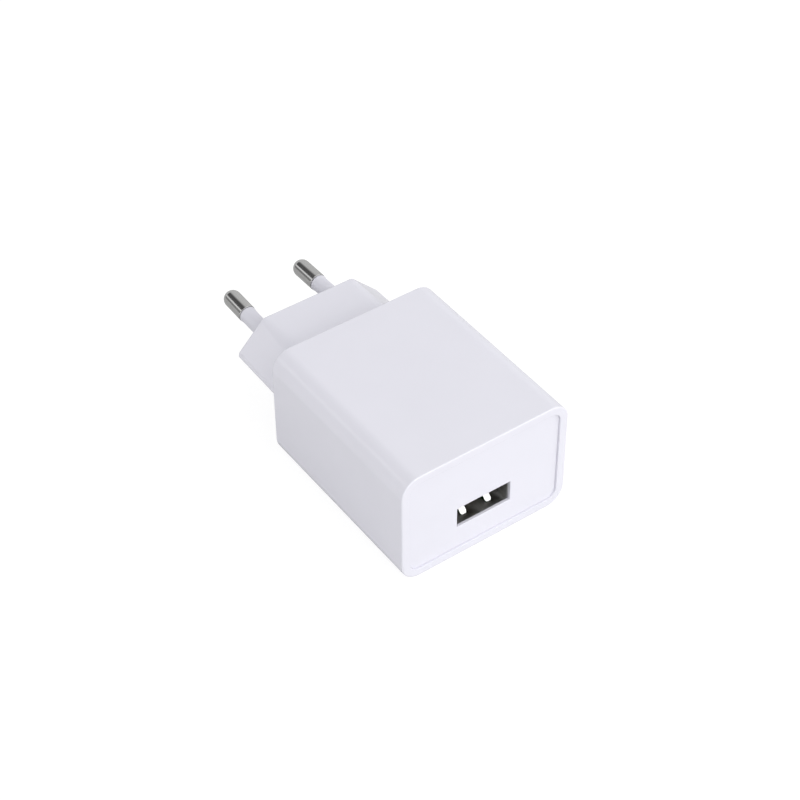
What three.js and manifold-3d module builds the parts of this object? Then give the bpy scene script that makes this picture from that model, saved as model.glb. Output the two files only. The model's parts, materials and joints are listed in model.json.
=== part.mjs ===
// USB wall charger with a fixed two-pin mains plug, in millimetres.
// +Z is up, the USB port faces -Y and the mains pins point along +Y.
// The origin is under the middle of the whole charger, on the plane that its underside lies on.

import * as THREE from 'three';
import { mergeVertices } from 'three/addons/utils/BufferGeometryUtils.js';
import Module from 'manifold-3d';

const wasm = await Module();
wasm.setup();

// ---------------------------------------------------------------- driving dimensions

// Case body: a tube with rounded long edges, closed at the back
const BODY_WIDTH = 40;
const BODY_LENGTH = 45;
const BODY_HEIGHT = 27.2;
const BODY_EDGE_RADIUS = 4.3;
const BODY_END_ROUNDING = 0.3;
const RIM_WALL = 1.9;
const SIDE_WALL = 2.4;
const BACK_WALL = 2.2;

// Plug base: a stretched hexagon that carries the two pins
const BASE_LENGTH = 17.4;
const BASE_WIDTH = 36.7;
const BASE_HEIGHT = 14;
const BASE_FLAT_WIDTH = 22.5;
const BASE_POINT_RADIUS = 1.2;
const BASE_SHOULDER_RADIUS = 2.6;
const BASE_WALL = 2;
const BASE_FACE_WALL = 2.4;

// Mains pins of the flat two-pin European plug, which lean together towards their tips
const PIN_LENGTH = 18;
const PIN_RADIUS = 2;
const PIN_NECK_RADIUS = 1.4;
const PIN_ROOT_PITCH = 18.6;
const PIN_TIP_PITCH = 17.8;
const SLEEVE_LENGTH = 10;
const SLEEVE_RADIUS = 1.82;

// Front cover, sunk a little behind the rim of the body
const COVER_RECESS = 0.45;
const COVER_THICKNESS = 1.3;
const COVER_GAP = 0.12;

// USB-A socket, which sits below the middle of the front
const PORT_HEIGHT = 9.95;
const WINDOW_WIDTH = 13;
const WINDOW_HEIGHT = 5.1;
const WINDOW_LIP = 0.65;
const POCKET_ROOM = 0.15;
const SHELL_INNER_WIDTH = 12.6;
const SHELL_INNER_HEIGHT = 5.12;
const SHELL_SHEET = 0.3;
const SHELL_LENGTH = 13.8;
const FINGER_OFFSET = 3.05;
const FINGER_WIDTH = 1.5;
const FINGER_TIP = 1.7;
const FINGER_LENGTH = 6;
const FINGER_RISE = 1.1;
const CONTACT_OFFSETS = [-3.5, -1, 1, 3.5];

// Circuit board, lying flat across the body
const BOARD_TOP = 6.95;
const BOARD_THICKNESS = 1.4;
const BOARD_WIDTH = 34.4;
const BOARD_LENGTH = 40;

// Clearance where pieces meet, and the room round a lead in its hole
const FIT_GAP = 0.1;
const LEAD_ROOM = 0.3;

// ---------------------------------------------------------------- places worked out from them

const TOTAL_LENGTH = BODY_LENGTH + BASE_LENGTH + PIN_LENGTH;
const FRONT_Y = -TOTAL_LENGTH / 2;
const BODY_BACK_Y = FRONT_Y + BODY_LENGTH;
const BASE_FACE_Y = BODY_BACK_Y + BASE_LENGTH;
const PLUG_HEIGHT = BODY_HEIGHT / 2;
const COVER_FACE_Y = FRONT_Y + COVER_RECESS;
const COVER_BACK_Y = COVER_FACE_Y + COVER_THICKNESS;
const BOARD_FRONT_Y = COVER_BACK_Y + 0.4;
const BOARD_BACK_Y = BOARD_FRONT_Y + BOARD_LENGTH;
const BOARD_BOTTOM = BOARD_TOP - BOARD_THICKNESS;

// ---------------------------------------------------------------- materials

function plastic(color, roughness = 0.45) {
  return new THREE.MeshStandardMaterial({ color, roughness, metalness: 0 });
}

function metal(color, roughness = 0.3) {
  return new THREE.MeshStandardMaterial({ color, roughness, metalness: 1 });
}

const whitePlastic = plastic(0xf1f1f5, 0.42);
const sleevePlastic = plastic(0xe6e6ea, 0.5);
const carrierPlastic = plastic(0xd9d9d6, 0.6);
const blackPlastic = plastic(0x121214, 0.5);
const boardLaminate = plastic(0x2f6b3c, 0.5);
const ferrite = plastic(0x2b2b2e, 0.7);
const yellowTape = plastic(0xe3b92c, 0.4);
const copperWire = metal(0xb4632f, 0.35);
const capacitorSleeve = plastic(0x1d2733, 0.35);
const blueCeramic = plastic(0x2c62b5, 0.5);
const resistorBody = plastic(0x6fa8b8, 0.5);
const tinned = metal(0xc9cbd0, 0.3);
const nickel = metal(0xb9b7b4, 0.18);
const springBronze = metal(0xb58a4a, 0.35);
const gilded = metal(0xd2a64a, 0.25);
const ceramicTan = plastic(0xb89a72, 0.6);

// ---------------------------------------------------------------- solids and outlines

function solidOf(geometry) {
  const plain = geometry.clone();
  plain.deleteAttribute('normal');
  plain.deleteAttribute('uv');
  const merged = mergeVertices(plain, 1e-4);
  const index = merged.index.array;
  const triVerts = [];
  for (let i = 0; i < index.length; i += 3) {
    const [a, b, c] = [index[i], index[i + 1], index[i + 2]];
    if (a !== b && b !== c && c !== a) triVerts.push(a, b, c);
  }
  return new wasm.Manifold(new wasm.Mesh({
    numProp: 3,
    vertProperties: new Float32Array(merged.attributes.position.array),
    triVerts: new Uint32Array(triVerts),
  }));
}

function geometryOf(solid) {
  const { vertProperties, triVerts } = solid.getMesh();
  const geometry = new THREE.BufferGeometry();
  geometry.setAttribute('position', new THREE.BufferAttribute(vertProperties, 3));
  geometry.setIndex(new THREE.BufferAttribute(triVerts, 1));
  geometry.computeVertexNormals();
  return geometry;
}

// Joins overlapping geometries into one closed solid.
function joined(...geometries) {
  return geometries.map(solidOf).reduce((whole, next) => whole.add(next));
}

function cut(solid, ...geometries) {
  return geometries.map(solidOf).reduce((whole, tool) => whole.subtract(tool), solid);
}

// A block between two opposite corners.
function block([x0, y0, z0], [x1, y1, z1]) {
  const geometry = new THREE.BoxGeometry(x1 - x0, y1 - y0, z1 - z0);
  return geometry.translate((x0 + x1) / 2, (y0 + y1) / 2, (z0 + z1) / 2);
}

// A closed outline through convex corners, each [across, up, radius], in anticlockwise order.
function roundedOutline(corners) {
  const shape = new THREE.Shape();
  corners.forEach(([x, y, radius], i) => {
    const corner = new THREE.Vector2(x, y);
    const [beforeX, beforeY] = corners.at(i - 1);
    const [afterX, afterY] = corners[(i + 1) % corners.length];
    const toBefore = new THREE.Vector2(beforeX, beforeY).sub(corner).normalize();
    const toAfter = new THREE.Vector2(afterX, afterY).sub(corner).normalize();
    const halfAngle = Math.acos(toBefore.dot(toAfter)) / 2;
    const inward = toBefore.clone().add(toAfter).normalize();
    const centre = corner.clone().addScaledVector(inward, radius / Math.sin(halfAngle));
    const reach = radius / Math.tan(halfAngle);
    const start = corner.clone().addScaledVector(toBefore, reach);
    const end = corner.clone().addScaledVector(toAfter, reach);
    const startAngle = Math.atan2(start.y - centre.y, start.x - centre.x);
    const endAngle = Math.atan2(end.y - centre.y, end.x - centre.x);
    if (i === 0) shape.moveTo(start.x, start.y);
    else shape.lineTo(start.x, start.y);
    shape.absarc(centre.x, centre.y, radius, startAngle, endAngle, false);
  });
  shape.closePath();
  return shape;
}

function rectangleOutline(width, height, radius, centreHeight = 0) {
  const x = width / 2;
  const low = centreHeight - height / 2;
  const high = centreHeight + height / 2;
  return roundedOutline([
    [-x, low, radius],
    [x, low, radius],
    [x, high, radius],
    [-x, high, radius],
  ]);
}

// The body's section, moved in from the outside by a wall thickness.
function bodyOutline(wall) {
  return rectangleOutline(
    BODY_WIDTH - 2 * wall,
    BODY_HEIGHT - 2 * wall,
    BODY_EDGE_RADIUS - wall,
    BODY_HEIGHT / 2,
  );
}

// The plug base's section, moved in from the outside by a wall thickness.
function baseOutline(wall) {
  const rise = BASE_HEIGHT / 2;
  const run = (BASE_WIDTH - BASE_FLAT_WIDTH) / 2;
  const slope = Math.hypot(rise, run);
  const point = BASE_WIDTH / 2 - (wall * slope) / rise;
  const shoulder = BASE_FLAT_WIDTH / 2 - (wall * (slope - run)) / rise;
  const pointRadius = Math.max(BASE_POINT_RADIUS - wall, 0.5);
  const shoulderRadius = Math.max(BASE_SHOULDER_RADIUS - wall, 0.5);
  const low = PLUG_HEIGHT - rise + wall;
  const high = PLUG_HEIGHT + rise - wall;
  return roundedOutline([
    [-shoulder, low, shoulderRadius],
    [shoulder, low, shoulderRadius],
    [point, PLUG_HEIGHT, pointRadius],
    [shoulder, high, shoulderRadius],
    [-shoulder, high, shoulderRadius],
    [-point, PLUG_HEIGHT, pointRadius],
  ]);
}

// An outline drawn across and up, run from one depth to another, with its end edges rounded.
function prismAlongY(outline, fromY, toY, rounding = 0, curveSegments = 6) {
  const geometry = new THREE.ExtrudeGeometry(outline, {
    depth: toY - fromY - 2 * rounding,
    curveSegments,
    bevelEnabled: rounding > 0,
    bevelThickness: rounding,
    bevelSize: rounding,
    bevelOffset: -rounding,
    bevelSegments: 2,
  });
  return geometry.rotateX(Math.PI / 2).translate(0, toY - rounding, 0);
}

// An outline drawn in depth and height, run across from one side to the other.
function prismAlongX(points, fromX, toX) {
  const shape = new THREE.Shape(points.map(([y, z]) => new THREE.Vector2(y, z)));
  const geometry = new THREE.ExtrudeGeometry(shape, { depth: toX - fromX, bevelEnabled: false });
  const axes = new THREE.Matrix4().makeBasis(
    new THREE.Vector3(0, 1, 0),
    new THREE.Vector3(0, 0, 1),
    new THREE.Vector3(1, 0, 0),
  );
  return geometry.applyMatrix4(axes).translate(fromX, 0, 0);
}

// A turned piece about the Y axis, from [radius, y] points in rising order of y.
function turnedAlongY(profile, segments = 24) {
  const points = profile.map(([radius, y]) => new THREE.Vector2(radius, y));
  return new THREE.LatheGeometry(points, segments);
}

function turnedUpright(profile, segments = 24) {
  return turnedAlongY(profile, segments).rotateX(Math.PI / 2);
}

function rodAlongY(radius, fromY, toY, segments = 24) {
  return turnedAlongY([[0, fromY], [radius, fromY], [radius, toY], [0, toY]], segments);
}

function uprightRod(x, y, radius, fromZ, toZ, segments = 8) {
  const profile = [[0, fromZ], [radius, fromZ], [radius, toZ], [0, toZ]];
  return turnedUpright(profile, segments).translate(x, y, 0);
}

function named(name, geometry, material, position = [0, 0, 0]) {
  const mesh = new THREE.Mesh(geometry, material);
  mesh.name = name;
  mesh.position.set(...position);
  return mesh;
}

// ---------------------------------------------------------------- case body

const SIDES = { left: -1, right: 1 };

// The frame of one pin: its origin is where the axis leaves the plug face, its Y axis is the pin's.
function pinFrame(side) {
  const lean = Math.atan((PIN_ROOT_PITCH - PIN_TIP_PITCH) / 2 / PIN_LENGTH);
  const frame = new THREE.Matrix4().makeRotationZ(side * lean);
  return frame.setPosition((side * PIN_ROOT_PITCH) / 2, BASE_FACE_Y, PLUG_HEIGHT);
}

// Two ribs on each side wall make the slot that the circuit board slides into.
function boardRails(side) {
  const rib = 1;
  const innerX = BOARD_WIDTH / 2 - 0.9;
  const wallX = BODY_WIDTH / 2 - SIDE_WALL + 0.5;
  const backY = BODY_BACK_Y - BACK_WALL + 0.5;
  const frontY = COVER_BACK_Y + 5;
  const bottoms = [BOARD_BOTTOM - LEAD_ROOM - rib, BOARD_TOP + LEAD_ROOM];
  return bottoms.map((bottom) => {
    const near = [side * innerX, frontY, bottom];
    const far = [side * wallX, backY, bottom + rib];
    const low = [Math.min(near[0], far[0]), near[1], near[2]];
    const high = [Math.max(near[0], far[0]), far[1], far[2]];
    return block(low, high);
  });
}

function makeCaseBody() {
  const shell = joined(
    prismAlongY(bodyOutline(0), FRONT_Y, BODY_BACK_Y, BODY_END_ROUNDING),
    prismAlongY(baseOutline(0), BODY_BACK_Y - BACK_WALL, BASE_FACE_Y, BODY_END_ROUNDING),
  );
  const coverSeat = prismAlongY(bodyOutline(RIM_WALL), FRONT_Y - 1, COVER_BACK_Y + FIT_GAP);
  const room = prismAlongY(bodyOutline(SIDE_WALL), FRONT_Y - 1, BODY_BACK_Y - BACK_WALL);
  const baseRoom = prismAlongY(
    baseOutline(BASE_WALL),
    BODY_BACK_Y - BACK_WALL - 1,
    BASE_FACE_Y - BASE_FACE_WALL,
  );
  const pinHoles = Object.values(SIDES).map((side) => {
    const hole = rodAlongY(SLEEVE_RADIUS + FIT_GAP, -BASE_FACE_WALL - 1, 1);
    return hole.applyMatrix4(pinFrame(side));
  });
  const hollow = cut(shell, coverSeat, room, baseRoom, ...pinHoles);
  const rails = Object.values(SIDES).flatMap(boardRails);
  const whole = rails.map(solidOf).reduce((body, rail) => body.add(rail), hollow);
  return named('case_body', geometryOf(whole), whitePlastic);
}

// ---------------------------------------------------------------- front cover

// Four tabs behind the cover slide along the top and bottom walls and hold it in line.
function coverTabs() {
  const length = 4;
  const halfWidth = 2.5;
  const thickness = 1.1;
  const wallGap = 0.25;
  const lowest = SIDE_WALL + wallGap;
  const highest = BODY_HEIGHT - SIDE_WALL - wallGap;
  const tabs = [];
  for (const x of [-10, 10]) {
    for (const bottom of [lowest, highest - thickness]) {
      tabs.push(block(
        [x - halfWidth, COVER_BACK_Y - 0.3, bottom],
        [x + halfWidth, COVER_BACK_Y + length, bottom + thickness],
      ));
    }
  }
  return tabs;
}

function makeFrontCover() {
  const panel = prismAlongY(bodyOutline(RIM_WALL + COVER_GAP), COVER_FACE_Y, COVER_BACK_Y);
  const windowRadius = 0.2;
  const portWindow = prismAlongY(
    rectangleOutline(WINDOW_WIDTH, WINDOW_HEIGHT, windowRadius, PORT_HEIGHT),
    COVER_FACE_Y - 1,
    COVER_BACK_Y + 1,
    0,
    2,
  );
  // A pocket behind the window takes the mouth of the socket, so that only a thin lip stands before it
  const shellPocket = prismAlongY(
    rectangleOutline(
      SHELL_INNER_WIDTH + 2 * (SHELL_SHEET + POCKET_ROOM),
      SHELL_INNER_HEIGHT + 2 * (SHELL_SHEET + POCKET_ROOM),
      0.8,
      PORT_HEIGHT,
    ),
    COVER_FACE_Y + WINDOW_LIP,
    COVER_BACK_Y + 1,
    0,
    2,
  );
  const cover = cut(joined(panel, ...coverTabs()), portWindow, shellPocket);
  return named('front_cover', geometryOf(cover), whitePlastic);
}

// ---------------------------------------------------------------- mains pins

const CARRIER_FRONT = -BASE_FACE_WALL - 4.8;
const CARRIER_THICKNESS = 2;
const PIN_TAIL_END = CARRIER_FRONT - 2.2;

function pinGeometry() {
  const headStart = SLEEVE_LENGTH;
  const domeSteps = 6;
  const dome = [];
  for (let i = 0; i <= domeSteps; i += 1) {
    const angle = (i / domeSteps) * (Math.PI / 2);
    dome.push([PIN_RADIUS * Math.cos(angle), PIN_LENGTH + PIN_RADIUS * (Math.sin(angle) - 1)]);
  }
  dome[domeSteps][0] = 0;
  const collarRadius = 2.2;
  const collarEnd = CARRIER_FRONT - 0.3;
  return turnedAlongY([
    [0, PIN_TAIL_END],
    [collarRadius, PIN_TAIL_END],
    [collarRadius, collarEnd],
    [PIN_NECK_RADIUS, collarEnd],
    [PIN_NECK_RADIUS, headStart],
    [PIN_RADIUS, headStart],
    ...dome,
  ]);
}

function sleeveGeometry() {
  const boreRadius = PIN_NECK_RADIUS + FIT_GAP;
  const flangeRadius = 2.8;
  const flangeFront = -BASE_FACE_WALL - 0.2;
  const flangeBack = flangeFront - 1.2;
  return turnedAlongY([
    [boreRadius, flangeBack],
    [flangeRadius, flangeBack],
    [flangeRadius, flangeFront],
    [SLEEVE_RADIUS, flangeFront],
    [SLEEVE_RADIUS, SLEEVE_LENGTH - FIT_GAP],
    [boreRadius, SLEEVE_LENGTH - FIT_GAP],
    [boreRadius, flangeBack],
  ]);
}

// The moulded plate inside the plug base that both pins are pressed through.
function makePinCarrier() {
  const wallGap = 0.25;
  const front = BASE_FACE_Y + CARRIER_FRONT;
  const plate = prismAlongY(baseOutline(BASE_WALL + wallGap), front, front + CARRIER_THICKNESS);
  const holes = Object.values(SIDES).map((side) => {
    const radius = PIN_NECK_RADIUS + LEAD_ROOM;
    const hole = rodAlongY(radius, CARRIER_FRONT - 1, CARRIER_FRONT + CARRIER_THICKNESS + 1);
    return hole.applyMatrix4(pinFrame(side));
  });
  return named('pin_carrier', geometryOf(cut(solidOf(plate), ...holes)), carrierPlastic);
}

// A bent strip that stands on the board and presses on the tail of a pin.
function contactSpringGeometry() {
  const strip = 0.4;
  const halfWidth = 1.6;
  const footZ = BOARD_TOP + FIT_GAP;
  const footFront = BOARD_BACK_Y - 2.2;
  const riserY = BOARD_BACK_Y - 0.8;
  const armZ = PLUG_HEIGHT - 1.6;
  const tipY = BASE_FACE_Y + PIN_TAIL_END - FIT_GAP;
  const tipTop = PLUG_HEIGHT + 1.4;
  return prismAlongX(
    [
      [footFront, footZ],
      [riserY + strip, footZ],
      [riserY + strip, armZ],
      [tipY, armZ],
      [tipY, tipTop],
      [tipY - strip, tipTop],
      [tipY - strip, armZ + strip],
      [riserY, armZ + strip],
      [riserY, footZ + strip],
      [footFront, footZ + strip],
    ],
    -halfWidth,
    halfWidth,
  );
}

function makePlug() {
  const plug = new THREE.Group();
  plug.add(makePinCarrier());
  for (const [sideName, side] of Object.entries(SIDES)) {
    const pinGroup = new THREE.Group();
    pinGroup.applyMatrix4(pinFrame(side));
    pinGroup.add(named(`mains_pin_${sideName}`, pinGeometry(), nickel));
    pinGroup.add(named(`pin_sleeve_${sideName}`, sleeveGeometry(), sleevePlastic));
    plug.add(pinGroup);
    const springX = side * (PIN_ROOT_PITCH / 2 + 0.2);
    const spring = contactSpringGeometry();
    plug.add(named(`contact_spring_${sideName}`, spring, springBronze, [springX, 0, 0]));
  }
  return plug;
}

// ---------------------------------------------------------------- USB socket

const SHELL_FRONT_Y = COVER_FACE_Y + WINDOW_LIP + FIT_GAP;
const SHELL_BACK_Y = SHELL_FRONT_Y + SHELL_LENGTH;
const SHELL_FLOOR = PORT_HEIGHT - SHELL_INNER_HEIGHT / 2;
const SHELL_ROOF = PORT_HEIGHT + SHELL_INNER_HEIGHT / 2;
const SHELL_LEG_Y = SHELL_FRONT_Y + 8.6;
const SHELL_LEG_LENGTH = 2;
const TONGUE_FRONT_Y = COVER_FACE_Y + 3.4;
const TONGUE_THICKNESS = 1.84;
const TONGUE_UNDERSIDE = SHELL_FLOOR + 2.62;
const INSULATOR_FRONT_Y = SHELL_BACK_Y - 3.2;
const INSULATOR_BACK_Y = SHELL_BACK_Y - 0.2;
const CONTACT_SHEET = 0.25;
const CONTACT_WIDTH = 1;
const CONTACT_TAIL_Y = SHELL_BACK_Y + 0.6;
const LEAD_END = BOARD_BOTTOM - 1.3;

// A leaf in the floor of the shell, with a steep lead-in ramp up to the crest that grips the plug.
function gripFinger(x) {
  const tipY = SHELL_FRONT_Y + FINGER_TIP;
  const rootY = tipY + FINGER_LENGTH;
  const crest = SHELL_FLOOR + FINGER_RISE;
  return prismAlongX(
    [
      [tipY, SHELL_FLOOR - 0.1],
      [rootY, SHELL_FLOOR - 0.1],
      [rootY, SHELL_FLOOR + 0.1],
      [tipY + FINGER_RISE + 0.9, crest - 0.05],
      [tipY + FINGER_RISE + 0.4, crest],
      [tipY + FINGER_RISE + 0.1, crest - 0.05],
      [tipY, SHELL_FLOOR + 0.1],
    ],
    x - FINGER_WIDTH / 2,
    x + FINGER_WIDTH / 2,
  );
}

function makeUsbShell() {
  const outerWidth = SHELL_INNER_WIDTH + 2 * SHELL_SHEET;
  const outerHeight = SHELL_INNER_HEIGHT + 2 * SHELL_SHEET;
  const tube = cut(
    solidOf(prismAlongY(
      rectangleOutline(outerWidth, outerHeight, 0.8, PORT_HEIGHT),
      SHELL_FRONT_Y,
      SHELL_BACK_Y,
      0,
      3,
    )),
    prismAlongY(
      rectangleOutline(SHELL_INNER_WIDTH, SHELL_INNER_HEIGHT, 0.5, PORT_HEIGHT),
      SHELL_FRONT_Y - 1,
      SHELL_BACK_Y + 1,
      0,
      3,
    ),
  );
  const legs = Object.values(SIDES).map((side) => {
    const middle = side * (outerWidth / 2 - SHELL_SHEET / 2);
    return block(
      [middle - SHELL_SHEET / 2, SHELL_LEG_Y, LEAD_END],
      [middle + SHELL_SHEET / 2, SHELL_LEG_Y + SHELL_LEG_LENGTH, PORT_HEIGHT],
    );
  });
  const additions = [...legs, gripFinger(-FINGER_OFFSET), gripFinger(FINGER_OFFSET)];
  const shell = additions.map(solidOf).reduce((whole, piece) => whole.add(piece), tube);
  return named('usb_shell', geometryOf(shell), tinned);
}

function contactPath() {
  const top = TONGUE_UNDERSIDE - 0.05;
  const bottom = top - CONTACT_SHEET;
  const back = CONTACT_TAIL_Y + CONTACT_SHEET / 2;
  return [
    [TONGUE_FRONT_Y + 0.8, bottom],
    [back - CONTACT_SHEET, bottom],
    [back - CONTACT_SHEET, LEAD_END],
    [back, LEAD_END],
    [back, top],
    [TONGUE_FRONT_Y + 0.8, top],
  ];
}

// The black insulator: a block that closes the back of the shell and a tongue that carries the contacts.
function makeUsbTongue() {
  const tongueHalfWidth = 5.55;
  const wallGap = 0.15;
  const blockX = SHELL_INNER_WIDTH / 2 - wallGap;
  const body = joined(
    block(
      [-blockX, INSULATOR_FRONT_Y, SHELL_FLOOR + wallGap],
      [blockX, INSULATOR_BACK_Y, SHELL_ROOF - wallGap],
    ),
    block(
      [-tongueHalfWidth, TONGUE_FRONT_Y, TONGUE_UNDERSIDE],
      [tongueHalfWidth, INSULATOR_BACK_Y - 0.5, TONGUE_UNDERSIDE + TONGUE_THICKNESS],
    ),
  );
  const slots = CONTACT_OFFSETS.map((x) => block(
    [x - CONTACT_WIDTH / 2 - 0.15, INSULATOR_FRONT_Y - 1, TONGUE_UNDERSIDE - 0.5],
    [x + CONTACT_WIDTH / 2 + 0.15, INSULATOR_BACK_Y + 1, TONGUE_UNDERSIDE],
  ));
  return named('usb_tongue', geometryOf(cut(body, ...slots)), blackPlastic);
}

function makeUsbSocket() {
  const socket = new THREE.Group();
  socket.add(makeUsbShell(), makeUsbTongue());
  CONTACT_OFFSETS.forEach((x, i) => {
    const contact = prismAlongX(contactPath(), -CONTACT_WIDTH / 2, CONTACT_WIDTH / 2);
    socket.add(named(`usb_contact_${i + 1}`, contact, gilded, [x, 0, 0]));
  });
  return socket;
}

// ---------------------------------------------------------------- parts that stand on the board

// Every part below is drawn round its own middle with the board's top (or underside) at height 0.
const LEAD_REACH = BOARD_THICKNESS + 1.3;
const LEAD_RADIUS = 0.35;

const LAYOUT = {
  transformer: [-1.5, -13.5],
  input_capacitor_1: [12, -18.6],
  input_capacitor_2: [12, -10.2],
  filter_inductor: [13, -3.2],
  output_capacitor_1: [12, -33.6],
  output_capacitor_2: [-12.4, -33],
  safety_capacitor: [-11.8, -24.2],
  fuse_resistor: [-13.8, -7],
  bridge_rectifier: [0.5, -1.8],
  output_diode: [12.8, -26.2],
  controller_chip: [4, -4.5],
  snubber_resistor: [-5, -22.6],
  snubber_capacitor: [-8.6, -22.6],
  sense_resistor: [10, -6],
  feedback_resistor: [-2, -4],
};

const CAPACITORS = {
  input_capacitor_1: { radius: 4, height: 14, leadPitch: 3.5 },
  input_capacitor_2: { radius: 4, height: 14, leadPitch: 3.5 },
  output_capacitor_1: { radius: 4, height: 12, leadPitch: 3.5 },
  output_capacitor_2: { radius: 3.15, height: 11, leadPitch: 2.5 },
};
const SAFETY_LEAD_PITCH = 7.5;
const INDUCTOR_LEAD_PITCH = 2.5;
const FUSE_LEAD_PITCH = 13;
const TERMINAL_OFFSETS = [-4, -1.4, 1.4, 4];
const TERMINAL_X = 6.6;
const TERMINAL_WIDTH = 0.6;

// An electrolytic can with a crimp near its foot and a dished top, on two leads.
function capacitorGeometry({ radius, height, leadPitch }) {
  const can = turnedUpright([
    [0, 0],
    [radius - 0.4, 0],
    [radius, 0.4],
    [radius, 1.6],
    [radius - 0.35, 2],
    [radius, 2.4],
    [radius, height - 0.4],
    [radius - 0.4, height],
    [radius - 0.9, height],
    [radius - 1, height - 0.3],
    [0, height - 0.3],
  ]);
  const leads = [-leadPitch / 2, leadPitch / 2].map((x) => (
    uprightRod(x, 0, LEAD_RADIUS, -LEAD_REACH, 0.5)
  ));
  return geometryOf(joined(can, ...leads));
}

// The ceramic disc that bridges the mains side and the USB side.
function safetyCapacitorGeometry() {
  const radius = 4.2;
  const halfThickness = 1.7;
  const disc = turnedAlongY([
    [0, -halfThickness],
    [radius - 1.4, -halfThickness],
    [radius - 0.3, -0.7],
    [radius, 0],
    [radius - 0.3, 0.7],
    [radius - 1.4, halfThickness],
    [0, halfThickness],
  ]).translate(0, 0, radius + 1);
  const leads = [-1, 1].map((side) => {
    const x = (side * SAFETY_LEAD_PITCH) / 2;
    return uprightRod(x, 0, LEAD_RADIUS, -LEAD_REACH, radius + 1);
  });
  return geometryOf(joined(disc, ...leads));
}

// An axial fusible resistor lying along the board, with its leads bent down.
function fuseResistorGeometry() {
  const radius = 1.7;
  const halfLength = 4.4;
  const height = radius + 0.6;
  const body = turnedAlongY([
    [0, -halfLength],
    [radius - 0.3, -halfLength],
    [radius, -halfLength + 0.4],
    [radius, -halfLength + 1.6],
    [radius - 0.25, -halfLength + 2],
    [radius - 0.25, halfLength - 2],
    [radius, halfLength - 1.6],
    [radius, halfLength - 0.4],
    [radius - 0.3, halfLength],
    [0, halfLength],
  ]).translate(0, 0, height);
  const wires = [-1, 1].flatMap((side) => {
    const outer = (side * FUSE_LEAD_PITCH) / 2;
    const [near, far] = [side * (halfLength - 0.5), outer].sort((a, b) => a - b);
    return [
      block([-LEAD_RADIUS, near, height - LEAD_RADIUS], [LEAD_RADIUS, far, height + LEAD_RADIUS]),
      block(
        [-LEAD_RADIUS, outer - LEAD_RADIUS, -LEAD_REACH],
        [LEAD_RADIUS, outer + LEAD_RADIUS, height + LEAD_RADIUS],
      ),
    ];
  });
  return geometryOf(joined(body, ...wires));
}

const DRUM = { flangeRadius: 2.8, coreRadius: 1.3, height: 6.4, flange: 0.9 };

function inductorCoreGeometry() {
  const { flangeRadius, coreRadius, height, flange } = DRUM;
  const drum = turnedUpright([
    [0, 0],
    [flangeRadius, 0],
    [flangeRadius, flange],
    [coreRadius, flange],
    [coreRadius, height - flange],
    [flangeRadius, height - flange],
    [flangeRadius, height],
    [0, height],
  ], 20);
  const leads = [-INDUCTOR_LEAD_PITCH / 2, INDUCTOR_LEAD_PITCH / 2].map((x) => (
    uprightRod(x, 0, LEAD_RADIUS, -LEAD_REACH, flange / 2)
  ));
  return geometryOf(joined(drum, ...leads));
}

function inductorWindingGeometry() {
  const { flangeRadius, coreRadius, height, flange } = DRUM;
  const inner = coreRadius + FIT_GAP;
  const outer = flangeRadius - 0.25;
  const low = flange + FIT_GAP;
  const high = height - flange - FIT_GAP;
  return turnedUpright([[inner, low], [outer, low], [outer, high], [inner, high], [inner, low]], 20);
}

// A moulded package with the same number of legs on its front and back edges.
function packageGeometry({ length, width, height, legs, legPitch, legWidth }) {
  const legReach = 1;
  const legSheet = 0.25;
  const body = block([-length / 2, -width / 2, 0.1], [length / 2, width / 2, height]);
  const feet = [];
  for (let i = 0; i < legs; i += 1) {
    const x = (i - (legs - 1) / 2) * legPitch;
    for (const side of [-1, 1]) {
      const [near, far] = [side * (width / 2 - 0.3), side * (width / 2 + legReach)];
      feet.push(block(
        [x - legWidth / 2, Math.min(near, far), 0],
        [x + legWidth / 2, Math.max(near, far), legSheet],
      ));
    }
  }
  return geometryOf(joined(body, ...feet));
}

// A small surface-mount chip with a raised metal cap at each end.
function chipGeometry({ length, width, height }) {
  const cap = 0.4;
  const proud = 0.05;
  const body = block([-length / 2 + 0.1, -width / 2, proud], [length / 2 - 0.1, width / 2, height]);
  const caps = [-1, 1].map((side) => {
    const outer = (side * length) / 2;
    const inner = side * (length / 2 - cap);
    return block(
      [Math.min(outer, inner), -width / 2 - proud, 0],
      [Math.max(outer, inner), width / 2 + proud, height + proud],
    );
  });
  return geometryOf(joined(body, ...caps));
}

// ---------------------------------------------------------------- transformer

// Two E-shaped ferrite halves meet inside a bobbin whose winding runs across the board.
const CORE = { size: 16, depth: 4.8, middleLeg: 4, sideLeg: 2, back: 2 };
const CORE_HEIGHT = 8;
const CORE_AIR_GAP = 0.1;
const BOBBIN = { wall: 0.7, flangeX: 5.7, flangeSheet: 0.7, flangeY: 5.7, flangeZ: 6.4 };
const WINDING = { y: 5.4, z: 6.1, cornerRadius: 1.6 };

function coreHalfGeometry(side) {
  const { size, depth, middleLeg, sideLeg, back } = CORE;
  const half = size / 2;
  const legEnd = CORE_AIR_GAP / 2;
  const bars = [
    [[half - back, half], [-half, half]],
    [[legEnd, half - back / 2], [-middleLeg / 2, middleLeg / 2]],
    [[legEnd, half - back / 2], [-half, -half + sideLeg]],
    [[legEnd, half - back / 2], [half - sideLeg, half]],
  ];
  const blocks = bars.map(([[nearX, farX], [lowY, highY]]) => {
    const [x0, x1] = [side * nearX, side * farX].sort((a, b) => a - b);
    return block([x0, lowY, CORE_HEIGHT - depth / 2], [x1, highY, CORE_HEIGHT + depth / 2]);
  });
  return geometryOf(joined(...blocks));
}

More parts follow.
